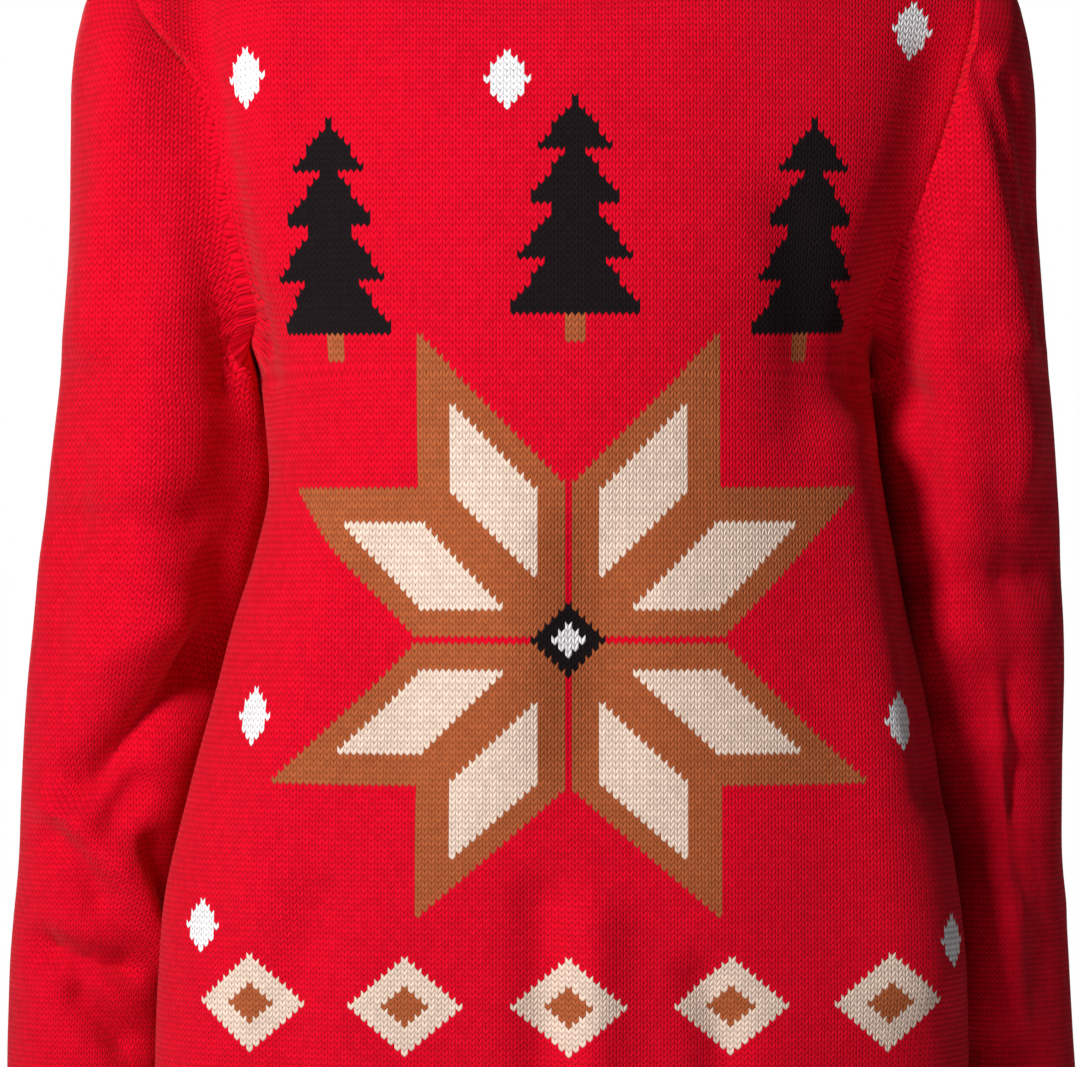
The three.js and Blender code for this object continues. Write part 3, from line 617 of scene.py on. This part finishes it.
# Folds: soft ridges and troughs along a bent line, seen from the front or back. A row has the line's start,
# the point it bends towards, its end, the fold's width and its lift, below 0 in a trough. The largest are in
# the solids too, at about these places.
folds = {
    ("front", FRONT): [
        ((206, -120), (194, -190), (170, -290), 24, -15),
        ((-204, -60), (-190, -150), (-170, -285), 13, -17),
        ((172, -330), (184, -420), (197, -500), 15, -10),
        ((-87, -370), (-90, -420), (-84, -480), 26, -6),
        ((-24, -370), (-22, -420), (-26, -470), 26, 5),
        ((16, -380), (20, -425), (14, -480), 24, -6),
        ((-11, -560), (-10, -620), (-12, -690), 14, -8),
        ((14, -570), (15, -620), (14, -690), 16, 8),
        ((156, -320), (170, -430), (184, -600), 26, 9),
        ((72, -600), (84, -625), (80, -655), 12, -7),
        ((-120, -380), (-150, -470), (-160, -560), 18, 4),
        ((-128, -560), (-146, -600), (-150, -650), 14, -4),
        ((118, -200), (128, -250), (126, -310), 16, -5),
        ((-150, -100), (-158, -160), (-150, -230), 16, 5),
    ],
    ("back", BACK): [
        ((-150, -190), (-110, -240), (-60, -260), 22, 8),
        ((150, -200), (105, -255), (55, -280), 22, 8),
        ((-30, -470), (-22, -560), (-34, -680), 24, 7),
        ((95, -500), (110, -570), (104, -680), 24, -8),
    ],
    ("sleeve_right", FRONT): [
        ((-234, -108), (-238, -180), (-252, -262), 16, 9),
        ((-172, -325), (-174, -370), (-184, -430), 21, -13),
        ((-222, -260), (-228, -330), (-222, -410), 20, 6),
        ((-272, -362), (-232, -368), (-200, -362), 15, -8),
        ((-184, -438), (-212, -458), (-262, -506), 15, -15),
        ((-210, -418), (-228, -422), (-246, -436), 14, 7),
        ((-274, -517), (-238, -530), (-218, -594), 11, 12),
        ((-280, -592), (-256, -600), (-234, -602), 9, -13),
        ((-204, -60), (-190, -150), (-170, -285), 22, -17),
        ((-196, -446), (-214, -464), (-252, -498), 6, -4),
        ((-228, -506), (-238, -514), (-246, -528), 10, -11),
        ((-276, -528), (-262, -538), (-250, -562), 8, -7),
        ((-222, -538), (-218, -552), (-216, -574), 8, -8),
        ((-262, -618), (-248, -628), (-236, -642), 9, -11),
        ((-262, -330), (-268, -380), (-276, -430), 10, -4),
    ],
    ("sleeve_right", BACK): [
        ((-205, -430), (-240, -450), (-280, -440), 16, -10),
        ((-224, -505), (-250, -520), (-286, -560), 15, 8),
    ],
    ("sleeve_left", FRONT): [
        ((214, -112), (227, -180), (244, -262), 15, 9),
        ((221, -116), (236, -190), (254, -262), 6, -5),
        ((236, -126), (247, -165), (250, -204), 5, -4),
        ((186, -300), (190, -330), (196, -370), 14, -8),
        ((198, -390), (230, -400), (266, -388), 16, -11),
        ((220, -452), (214, -490), (222, -530), 18, -12),
        ((246, -575), (242, -598), (246, -622), 17, 8),
        ((206, -120), (194, -190), (170, -290), 18, -15),
        ((192, -380), (200, -480), (212, -620), 20, 8),
        ((244, -360), (251, -470), (256, -640), 24, -10),
        ((252, -470), (256, -530), (258, -610), 22, -5),
        ((205, -474), (236, -484), (262, -476), 11, 5),
        ((248, -448), (258, -478), (252, -512), 12, -5),
        ((236, -270), (250, -300), (248, -345), 10, 5),
    ],
    ("sleeve_left", BACK): [
        ((206, -425), (238, -445), (268, -430), 16, -10),
        ((222, -518), (244, -530), (268, -570), 15, 8),
    ],
}
FOLD_STEPS = 24
FOLD_TURN = (-0.1, 0.5)  # how far the cloth faces the viewer where a fold ends, and where it is whole


def lift_by_folds(name, grid, normals):
    """How far the folds of one piece lift each of its points."""
    lift = np.zeros(grid.shape[:2])
    t = np.linspace(0, 1, FOLD_STEPS)[:, None]
    for face in (FRONT, BACK):
        in_view = smoothstep(face * normals[..., 1], *FOLD_TURN)
        for start, by, end, wide, most in folds.get((name, face), []):
            line = np.array(start) * (1 - t)**2 + 2 * np.array(by) * (1 - t) * t + np.array(end) * t**2
            apart = grid[..., None, [0, 2]] - line
            near = np.sqrt((apart**2).sum(axis=-1)).min(axis=-1)
            lift += in_view * most * np.exp(-(near / wide)**2)
    return lift


def unevenness(grid):
    """The cloth's own small waviness, less than a millimetre."""
    x, y, z = np.moveaxis(grid, -1, 0)
    slow = np.sin(x / 31 + np.sin(z / 57) + 1.3) * np.sin(z / 43 + y / 38 + np.sin(x / 49))
    quick = np.sin(x / 13 + z / 37 + 2.1) * np.sin(z / 17 - y / 19 + 0.4)
    return 0.6 * slow + 0.25 * quick


SEAM_DEPTH = 1.1  # how far a sewn edge dips below the cloth beside it


def folded(grids):
    """All grids with their folds. A point that pieces share takes the stronger of their lifts."""
    normals, places = shared_normals(grids)
    total = np.zeros(1 + max(place.max() for place in places.values()))
    edge = np.zeros_like(total)
    for name, grid in grids.items():
        place = places[name][:, :grid.shape[1]]
        lift = lift_by_folds(name, grid, normals[name]).reshape(-1)
        stronger = np.abs(lift) > np.abs(total[place.reshape(-1)])
        total[place.reshape(-1)[stronger]] = lift[stronger]
        edge[place[0]] = SEAM_DEPTH
        if name not in tubes:
            edge[place[:, 0]] = SEAM_DEPTH
            edge[place[:, -1]] = SEAM_DEPTH
    result = {}
    for name, grid in grids.items():
        place = places[name][:, :grid.shape[1]]
        lift = total[place] + unevenness(grid) - edge[place]
        result[name] = grid + normals[name] * lift[..., None]
    return result


cloth = folded(grids)
outward = shared_normals(cloth)[0]


def square_step(lines, line, towards):
    """The unit step from one line of points towards another, square to the line."""
    along = unit(np.gradient(lines[line], axis=0))
    step = lines[towards] - lines[line]
    return unit(step - along * (step * along).sum(axis=-1, keepdims=True))


def drawn_in(grid, sides=True, ends=True):
    """A grid whose outermost points are drawn in along the cloth by half a seam gap."""
    moved = grid.copy()
    if ends:
        moved[0] += square_step(grid, 0, 1) * SEAM_GAP / 2
        moved[-1] += square_step(grid, -1, -2) * SEAM_GAP / 2
    if sides:
        columns = turned(grid)
        moved[:, 0] += square_step(columns, 0, 1) * SEAM_GAP / 2
        moved[:, -1] += square_step(columns, -1, -2) * SEAM_GAP / 2
    return moved


SHARP_ANGLE = 50  # degrees between faces that meet in a hard edge


def wall(name, outer, inner, places, closed, materials, rims=(None, None)):
    """A piece of cloth as a closed wall between an outer and an inner grid. rims may give the rounded line
    between their first rows, in a tube, or their last. places is each point's place in the knitting."""
    rows, columns = outer.shape[:2]
    first_rim, last_rim = ([] if rim is None else [rim] for rim in rims)
    loop = np.array([*outer, *last_rim, *inner[::-1], *first_rim])
    last_places = [places[-1]] * len(last_rim)
    first_places = [places[0]] * len(first_rim)
    loop_places = np.array([*places, *last_places, *places[::-1], *first_places])
    number = np.arange(len(loop) * columns).reshape(len(loop), columns)
    if closed:
        number = np.concatenate([number, number[:, :1]], axis=1)
    below = np.roll(number, -1, axis=0)
    below_places = np.roll(loop_places, -1, axis=0)
    quads = np.stack([number[:, :-1], below[:, :-1], below[:, 1:], number[:, 1:]], axis=-1).reshape(-1, 4)
    corners = [loop_places[:, :-1], below_places[:, :-1], below_places[:, 1:], loop_places[:, 1:]]
    uv = np.stack(corners, axis=2).reshape(-1, 4, 2)
    face_side = np.zeros((len(loop), number.shape[1] - 1), int)
    face_side[rows - 1 + len(last_rim):rows * 2 - 1 + len(last_rim)] = 1
    faces = quads.tolist()
    sides = face_side.reshape(-1).tolist()
    uv = uv.tolist()
    if not closed:
        for column, order in ((0, (0, 1, 2, 3)), (columns - 1, (3, 2, 1, 0))):
            inside = number[rows + len(last_rim):rows * 2 + len(last_rim)][::-1, column]
            outside = number[:rows, column]
            for row in range(rows - 1):
                quad = (outside[row], inside[row], inside[row + 1], outside[row + 1])
                upper, lower = places[row, column], places[row + 1, column]
                spots = (upper, upper, lower, lower)
                faces.append([int(quad[n]) for n in order])
                uv.append([tuple(spots[n]) for n in order])
                sides.append(0)
            if last_rim:
                rim = [outside[-1], inside[-1], number[rows, column]]
                faces.append([int(n) for n in (rim if column == 0 else rim[::-1])])
                uv.append([tuple(places[-1, column])] * 3)
                sides.append(0)
    mesh = bpy.data.meshes.new(name)
    mesh.from_pydata((loop.reshape(-1, 3) * MM).tolist(), [], faces)
    mesh.polygons.foreach_set("material_index", sides)
    layer = mesh.uv_layers.new(name="stitches")
    layer.data.foreach_set("uv", np.array([spot for face in uv for spot in face]).reshape(-1))
    mesh.shade_smooth()
    mesh.set_sharp_from_angle(angle=math.radians(SHARP_ANGLE))
    for material in materials:
        mesh.materials.append(material)
    piece = bpy.data.objects.new(name, mesh)
    bpy.context.collection.objects.link(piece)
    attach(piece, "root")
    return piece


# Yarn colours, and how the stitches of one yarn differ
red = (0.74, 0.0022, 0.019, 1)
black = (0.012, 0.008, 0.009, 1)
brown = (0.42, 0.105, 0.035, 1)
beige = (0.84, 0.64, 0.52, 1)
white = (0.92, 0.9, 0.91, 1)
# The black that the painted shade in the hollows and the stitches' random tone mix towards
dark = (0, 0, 0, 1)
# Painted shade: the hollows between stitches are darkened in the colour, where shade would fall
PAINTED_HOLLOW_SHADE = 0.84  # how much of its brightness the yarn loses in the hollows between stitches
FIBRE_SHADE = (0.86, 0.36)  # its brightness between fibres, and how much the fibres add
FIBRE_HEIGHT = 0.22  # the fibres' own relief as a share of the stitch's
STITCH_HEIGHT = 1.1
LEG_SLOPE = 1.15  # courses that a stitch's leg climbs over half a wale
CROTCH_WIDTH = 0.17  # wales from a stitch's middle to where its leg is at its full height
RIDGE_WIDTH = 0.14  # the same from its outer edge
YARN_CHANCE = 0.14  # how much the brightness differs from stitch to stitch


def yarn_with_painted_shade(colour, height, hollow_shade_mask, detail):
    """A yarn's look on a knitted surface, of this colour and height, with painted shade darkening it in the
    hollows.
    """
    fibres = colour.node("TexNoise", {}, {"Vector": detail, "Scale": 2.2, "Detail": 3.0})
    # Painted shade darkens the colour in the hollows; the fibres vary its tone.
    shade = (1 - hollow_shade_mask * PAINTED_HOLLOW_SHADE) * (FIBRE_SHADE[0] + fibres * FIBRE_SHADE[1])
    relief = height + fibres * FIBRE_HEIGHT
    bump = colour.node("Bump", {}, {"Height": relief, "Strength": 0.55, "Distance": STITCH_HEIGHT * MM})
    values = {
        "Base Color": shade.between(dark, colour),
        "Roughness": 0.95 - hollow_shade_mask * 0.1,
        "Normal": bump,
        "Specular IOR Level": 0.05,
        "Sheen Weight": 0.03,
        "Sheen Roughness": 0.4,
    }
    colour.node("BsdfPrincipled", {}, values).into("OutputMaterial")


def knit_material(name):
    """A new material and the place in the knitting that it colours, as a vector and as wales and courses."""
    material = bpy.data.materials.new(name)
    material.use_nodes = True
    material.node_tree.nodes.clear()
    spot = Wire(material.node_tree).node("UVMap", {"uv_map": "stitches"})
    across = spot.node("SeparateXYZ", {}, {0: spot})
    return material, spot, across, across.output("Y")


def stocking_stitch(name, pattern=None):
    """The right side of stocking stitch, rows of small Vs. pattern gives the colour of a wale and course."""
    material, spot, across, down = knit_material(name)
    wale = across.math("FLOOR")
    aside = abs(across.math("FRACT") - 0.5)
    leg = down + aside * LEG_SLOPE
    course = leg.math("FLOOR")
    strand = (leg.math("FRACT") * math.pi).math("SINE")
    crotch = aside.step(0, CROTCH_WIDTH)
    ridge = (0.5 - aside).step(0, RIDGE_WIDTH)
    height = (strand**0.7) * (0.35 + crotch * 0.65) * (0.6 + ridge * 0.4)
    # Painted shade: darker between the strands, at each V's crotch and in the gaps between wales
    hollow_shade_mask = (1 - strand**0.5) * (1 - crotch * 0.45) | (1 - ridge) * 0.5 | (1 - strand) * (1 - crotch)
    cell = spot.node("CombineXYZ", {}, {0: wale, 1: course})
    chance = spot.node("TexWhiteNoise", {"noise_dimensions": "2D"}, {"Vector": cell})
    cloud = spot.node("TexNoise", {}, {"Vector": spot, "Scale": 0.05, "Detail": 2.0})
    colour = pattern(wale, course) if pattern else (0 * wale).between(red, red)
    light = 1 - YARN_CHANCE + chance * YARN_CHANCE + (cloud - 0.5) * YARN_CHANCE
    detail = spot.node("CombineXYZ", {}, {0: across * 5, 1: leg * 1.6})
    yarn_with_painted_shade(light.between(dark, colour), height, hollow_shade_mask, detail)
    return material


def purl_side(name):
    """The wrong side of the same knitting: rows of small bumps."""
    material, spot, across, down = knit_material(name)
    wave = (across * (2 * math.pi)).math("COSINE") * 0.22
    bar = ((down * 2 + wave).math("FRACT") * math.pi).math("SINE")
    colour = (0 * bar).between(red, red)
    detail = spot.node("CombineXYZ", {}, {0: across * 2, 1: down * 5})
    # Painted shade darkens the gaps between the bars
    yarn_with_painted_shade(colour, bar**0.8, 1 - bar**0.5, detail)
    return material


plain_knit = stocking_stitch("red_stocking_stitch")
purl = purl_side("red_wrong_side")

# The knitted-in pattern: fir trees over an eight-pointed star, a row of diamonds and scattered snow. Places
# are millimetres on the front, and sizes are wales and courses.
middle_column = grids["front"][:, HALF_COLUMNS * FINE]
middle_courses = stitches["front"][:, HALF_COLUMNS * FINE, 1]


def knit_place(x, z):
    """The wale and course of a place on the front."""
    row = int(np.argmin(abs(middle_column[:, 2] - z)))
    wide = np.interp(x, grids["front"][row, :, 0], stitches["front"][row, :, 0])
    return round(float(wide)), round(float(np.interp(-z, -middle_column[:, 2], middle_courses)))


# Sizes that end in a half lie between two stitches.
snow = [(-170, -125), (-32, -130), (186, -99), (-163, -462), (172, -466), (-192, -573), (200, -582)]
flake = {"half_width": 3.5, "half_height": 4.2, "round": 0.3, "slope": 0.4}
firs = [(-122, -262), (2, -250), (126, -262)]
fir = {"tiers": 4, "tier_height": 8, "half_width": 10, "taper": 1.5, "slope": 0.75}
trunk = {"half_width": 1.5, "height": 4.5}
star_at = (0, -424)
star = {"reach": 22.5, "heart_from": 4.5, "heart_reach": 17.5, "centre": 5.5, "centre_heart": 2.5}
diamonds_at = (0, -612)
diamond = {"spacing": 24, "half_width": 8.5, "heart": 3.5, "spacings": 2.5}


def christmas_pattern(wale, course):
    def from_place(x, z):
        i, j = knit_place(x, z)
        return abs(wale - i), course - j

    flakes = 0 * wale
    for x, z in snow:
        dx, dy = from_place(x, z)
        from_middle = dx * dx * flake["round"] + dx * flake["slope"] + abs(dy)
        flakes = flakes | ((dx < flake["half_width"]) & (from_middle < flake["half_height"]))

    trees = 0 * wale
    trunks = 0 * wale
    for x, z in firs:
        dx, dy = from_place(x, z)
        up = -1 * dy
        tier = (up * (1 / fir["tier_height"])).math("FLOOR")
        within = up - tier * fir["tier_height"]
        half_width = fir["half_width"] - tier * fir["taper"] - within * fir["slope"]
        trees = trees | ((up > -0.5) & (up < fir["tiers"] * fir["tier_height"]) & (dx < half_width))
        trunks = trunks | ((dx < trunk["half_width"]) & (dy > 0.5) & (dy < trunk["height"]))

    dx, dy = from_place(*star_at)
    dy = abs(dy)
    low = dx.math("MINIMUM", dy)
    high = dx.math("MAXIMUM", dy)
    rest = high - low
    petals = (low > 0.5) & (low < star["reach"]) & (rest > -0.5) & (rest < star["reach"])
    in_low = (low > star["heart_from"]) & (low < star["heart_reach"])
    petal_hearts = in_low & (rest > star["heart_from"]) & (rest < star["heart_reach"])
    centre = dx + dy < star["centre"]
    centre_heart = dx + dy < star["centre_heart"]

    spacing = diamond["spacing"]
    row = knit_place(*diamonds_at)[1]
    nearest = ((wale + spacing / 2) * (1 / spacing)).math("FRACT") * spacing - spacing / 2
    from_heart = abs(nearest) + abs(course - row)
    in_row = abs(wale) < diamond["spacings"] * spacing
    diamonds = in_row & (from_heart < diamond["half_width"])
    diamond_hearts = in_row & (from_heart < diamond["heart"])

    colour = trees.between(red, black)
    colour = (trunks | petals).between(colour, brown)
    colour = (petal_hearts | diamonds).between(colour, beige)
    colour = diamond_hearts.between(colour, brown)
    colour = centre.between(colour, black)
    return (flakes | centre_heart).between(colour, white)


pattern_knit = stocking_stitch("patterned_stocking_stitch", christmas_pattern)

# What each piece was before it was sewn: its widest and longest, the share of that rectangle which is cloth,
# and the pieces that it hangs from
cuts = {
    "front": {"flat": (0.50, 0.66), "share": 0.88, "hangs_from": ["back", "neckband"]},
    "back": {"flat": (0.50, 0.68), "share": 0.90, "hangs_from": ["front", "neckband"]},
    "sleeve_right": {"flat": (0.40, 0.60), "share": 0.80, "hangs_from": ["front", "back"]},
    "sleeve_left": {"flat": (0.38, 0.60), "share": 0.80, "hangs_from": ["front", "back"]},
}
for name, cut in cuts.items():
    tube = name in tubes
    outer = drawn_in(cloth[name], sides=not tube)
    inner = drawn_in(cloth[name] - outward[name] * CLOTH, sides=not tube)
    face = pattern_knit if name == "front" else plain_knit
    piece = wall(name + "_knit", outer, inner, stitches[name], tube, [face, purl])
    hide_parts(name)


# Hem ribs
# A front and a back band of two-by-two rib, knitted on below the body and joined at the sides. They draw the
# body in a little.
RIB_RAISE = 1.4
RIB_FLATNESS = 0.75  # over a half, ribs and furrows are flat for a part of their width
RIB_SAMPLES = 10  # points round one rib and its furrow
RIBS_PER_COLUMN = 2
HEM_RIB = 60
HEM_DRAW_IN = 0.975
STITCHES_PER_RIB = 4
RIB_COURSE = 3.0
RIB_RIDGE_WIDTH = 0.12
RIM_BULGE = 0.8  # how far a cast-off edge rounds out past the wall


def rib_material(name):
    """Two-by-two rib: two wales of Vs on each rib and two sunken wales of bumps between them."""
    material, spot, across, down = knit_material(name)
    raised = 0.5 - (across * (2 * math.pi / STITCHES_PER_RIB)).math("COSINE") * 0.5
    aside = abs(across.math("FRACT") - 0.5)
    leg = down + aside * LEG_SLOPE
    strand = (leg.math("FRACT") * math.pi).math("SINE")
    ridge = (0.5 - aside).step(0, RIB_RIDGE_WIDTH)
    height = (strand**0.7) * (0.55 + ridge * 0.45)
    # Painted shade: darker between the strands, at the wales' edges and over the two sunken wales
    hollow_shade_mask = (1 - strand**0.5) * 0.5 | (1 - ridge) * 0.35 | (1 - raised.step(0, 0.5)) * 0.5
    colour = (0 * raised).between(red, red)
    detail = spot.node("CombineXYZ", {}, {0: across * 5, 1: leg * 1.6})
    yarn_with_painted_shade(colour, height, hollow_shade_mask, detail)
    return material


ribbing = rib_material("red_rib")


def rib_lines(edge, ribs_per_column, closed):
    """An edge's points, normals and ways on, taken at each point of its ribs, with the rib's height there."""
    columns = len(edge["point"]) // FINE
    steps = columns * ribs_per_column * RIB_SAMPLES
    at = np.arange(steps + (0 if closed else 1)) / steps * columns * FINE
    along = np.arange(len(edge["point"]) + (1 if closed else 0))
    lines = {}
    for name, values in edge.items():
        values = np.concatenate([values, values[:1]]) if closed else values
        lines[name] = np.stack([np.interp(at, along, values[:, axis]) for axis in range(3)], axis=1)
    ribs = at / FINE * ribs_per_column
    height = np.clip(0.5 - RIB_FLATNESS * np.cos(2 * math.pi * ribs), 0, 1)
    places = np.arange(steps + 1) / RIB_SAMPLES * STITCHES_PER_RIB
    return lines, height, places


def rib_grid(lines, height, shares, place_at):
    """The outer and inner grids of a ribbed band. place_at gives its lines at each share of its depth."""
    outer = []
    inner = []
    for share in shares:
        place, outward_there = place_at(lines, share)
        outer.append(place + outward_there * (height * RIB_RAISE)[:, None])
        inner.append(place - outward_there * CLOTH)
    return np.array(outer), np.array(inner)


def level(vectors):
    return unit(vectors * np.array([1, 1, 0]))


def knit_places(wales, shares, depth):
    courses = np.array(shares) * depth / RIB_COURSE
    return np.stack(np.broadcast_arrays(wales[None, :], courses[:, None]), axis=-1)


def rim_line(outer, inner, beyond):
    """The rounded middle of a cast-off edge, a little past the wall."""
    return (outer + inner) / 2 + beyond * RIM_BULGE


def hem_place(lines, share):
    draw = 1 + (HEM_DRAW_IN - 1) * share
    point = lines["point"] * np.array([draw, draw, 0])
    point[:, 2] = HEM_SEAM_Z - (SEAM_GAP / 2 + (HEM_RIB - SEAM_GAP / 2 - RIM_BULGE) * share)
    return point, level(lines["normal"])


DOWN = np.array([0, 0, -1])
hem_shares = np.linspace(0, 1, 13)
for panel in ("front", "back"):
    edge = {"point": cloth[panel][-1], "normal": outward[panel][-1]}
    lines, height, wales = rib_lines(edge, RIBS_PER_COLUMN, False)
    outer, inner = rib_grid(lines, height, hem_shares, hem_place)
    outer, inner = drawn_in(outer, ends=False), drawn_in(inner, ends=False)
    places = knit_places(wales, hem_shares, HEM_RIB)
    rims = (None, rim_line(outer[-1], inner[-1], DOWN))
    piece = wall("hem_ribs_" + panel, outer, inner, places, False, [ribbing, ribbing], rims)
    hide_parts("hem_rib_" + panel)


# Cuffs
# A band of the same rib at the end of each sleeve. It grips the wrist closer than the sleeve above it, whose
# cloth is gathered in over the band's first part.
CUFF_SEAM_Z = -660
CUFF_RIB = 58
CUFF_GRIP = 0.8
CUFF_GATHER = (-0.1, 0.28)  # shares of its depth between which the cloth is gathered in


def cuff_place(lines, share):
    middle = lines["point"].mean(axis=0)
    grip = 1 + (CUFF_GRIP - 1) * smoothstep(share, *CUFF_GATHER)
    point = middle + (lines["point"] - middle) * grip
    point[:, 2] = CUFF_SEAM_Z - (SEAM_GAP / 2 + (CUFF_RIB - SEAM_GAP / 2 - RIM_BULGE) * share)
    return point, level(lines["normal"])


cuff_shares = np.linspace(0, 1, 15)
for side in ("right", "left"):
    sleeve = "sleeve_" + side
    edge = {"point": cloth[sleeve][-1], "normal": outward[sleeve][-1]}
    lines, height, wales = rib_lines(edge, 1, True)
    outer, inner = rib_grid(lines, height, cuff_shares, cuff_place)
    places = knit_places(wales, cuff_shares, CUFF_RIB)
    rims = (None, rim_line(outer[-1], inner[-1], DOWN))
    piece = wall("cuff_ribs_" + side, outer, inner, places, True, [ribbing, ribbing], rims)
    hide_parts("cuff_" + side)


# Neckband
# A round crew-neck band of the same rib, linked to the neckline all round. It stands up and leans in towards
# the neck.
NECKBAND_HEIGHT = 22
NECKBAND_FLOW = 0.5  # how much it goes on in the panels' direction instead of upright
NECKBAND_TURN = 0.7  # share of its height over which it turns to face straight outwards


def neck_edge(panel):
    grid, normals = cloth[panel], outward[panel]
    ends = slice(SHOULDER_COLUMNS * FINE, grid.shape[1] - SHOULDER_COLUMNS * FINE)
    line = {"point": grid[0, ends], "normal": normals[0, ends]}
    away = -square_step(np.array([grid[0, ends], grid[1, ends]]), 0, 1)
    return {**line, "away": away}


front_neck, back_neck = neck_edge("front"), neck_edge("back")
for front_end, back_end in ((0, -1), (-1, 0)):
    front_neck["away"][front_end] = unit(front_neck["away"][front_end] + back_neck["away"][back_end])
neck = {name: np.concatenate([front_neck[name], back_neck[name][1:-1]]) for name in front_neck}
for name in ("away", "normal"):
    for _ in range(FINE):
        neck[name] = unit(np.roll(neck[name], 1, axis=0) + neck[name] + np.roll(neck[name], -1, axis=0))


def neckband_place(lines, share):
    base = lines["point"] + lines["away"] * SEAM_GAP
    radial = level(lines["point"] - np.array([0, NECK_Y, 0]))
    rise = unit(lines["away"] * NECKBAND_FLOW + np.array([0, 0, 1 - NECKBAND_FLOW]))
    upright = unit(radial - rise * (radial * rise).sum(axis=1, keepdims=True))
    turn = smoothstep(share, 0, NECKBAND_TURN)
    outward_there = unit(lines["normal"] * (1 - turn) + upright * turn)
    return base + rise * (NECKBAND_HEIGHT - RIM_BULGE) * share, outward_there


neck_shares = np.linspace(1, 0, 9)
lines, height, wales = rib_lines(neck, RIBS_PER_COLUMN, True)
outer, inner = rib_grid(lines, height, neck_shares, neckband_place)
places = knit_places(wales, 1 - neck_shares, NECKBAND_HEIGHT)
top = rim_line(outer[0], inner[0], unit(outer[0] - outer[1]))
piece = wall("neckband_ribs", outer, inner, places, True, [ribbing, ribbing], (top, None))
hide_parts("neckband")
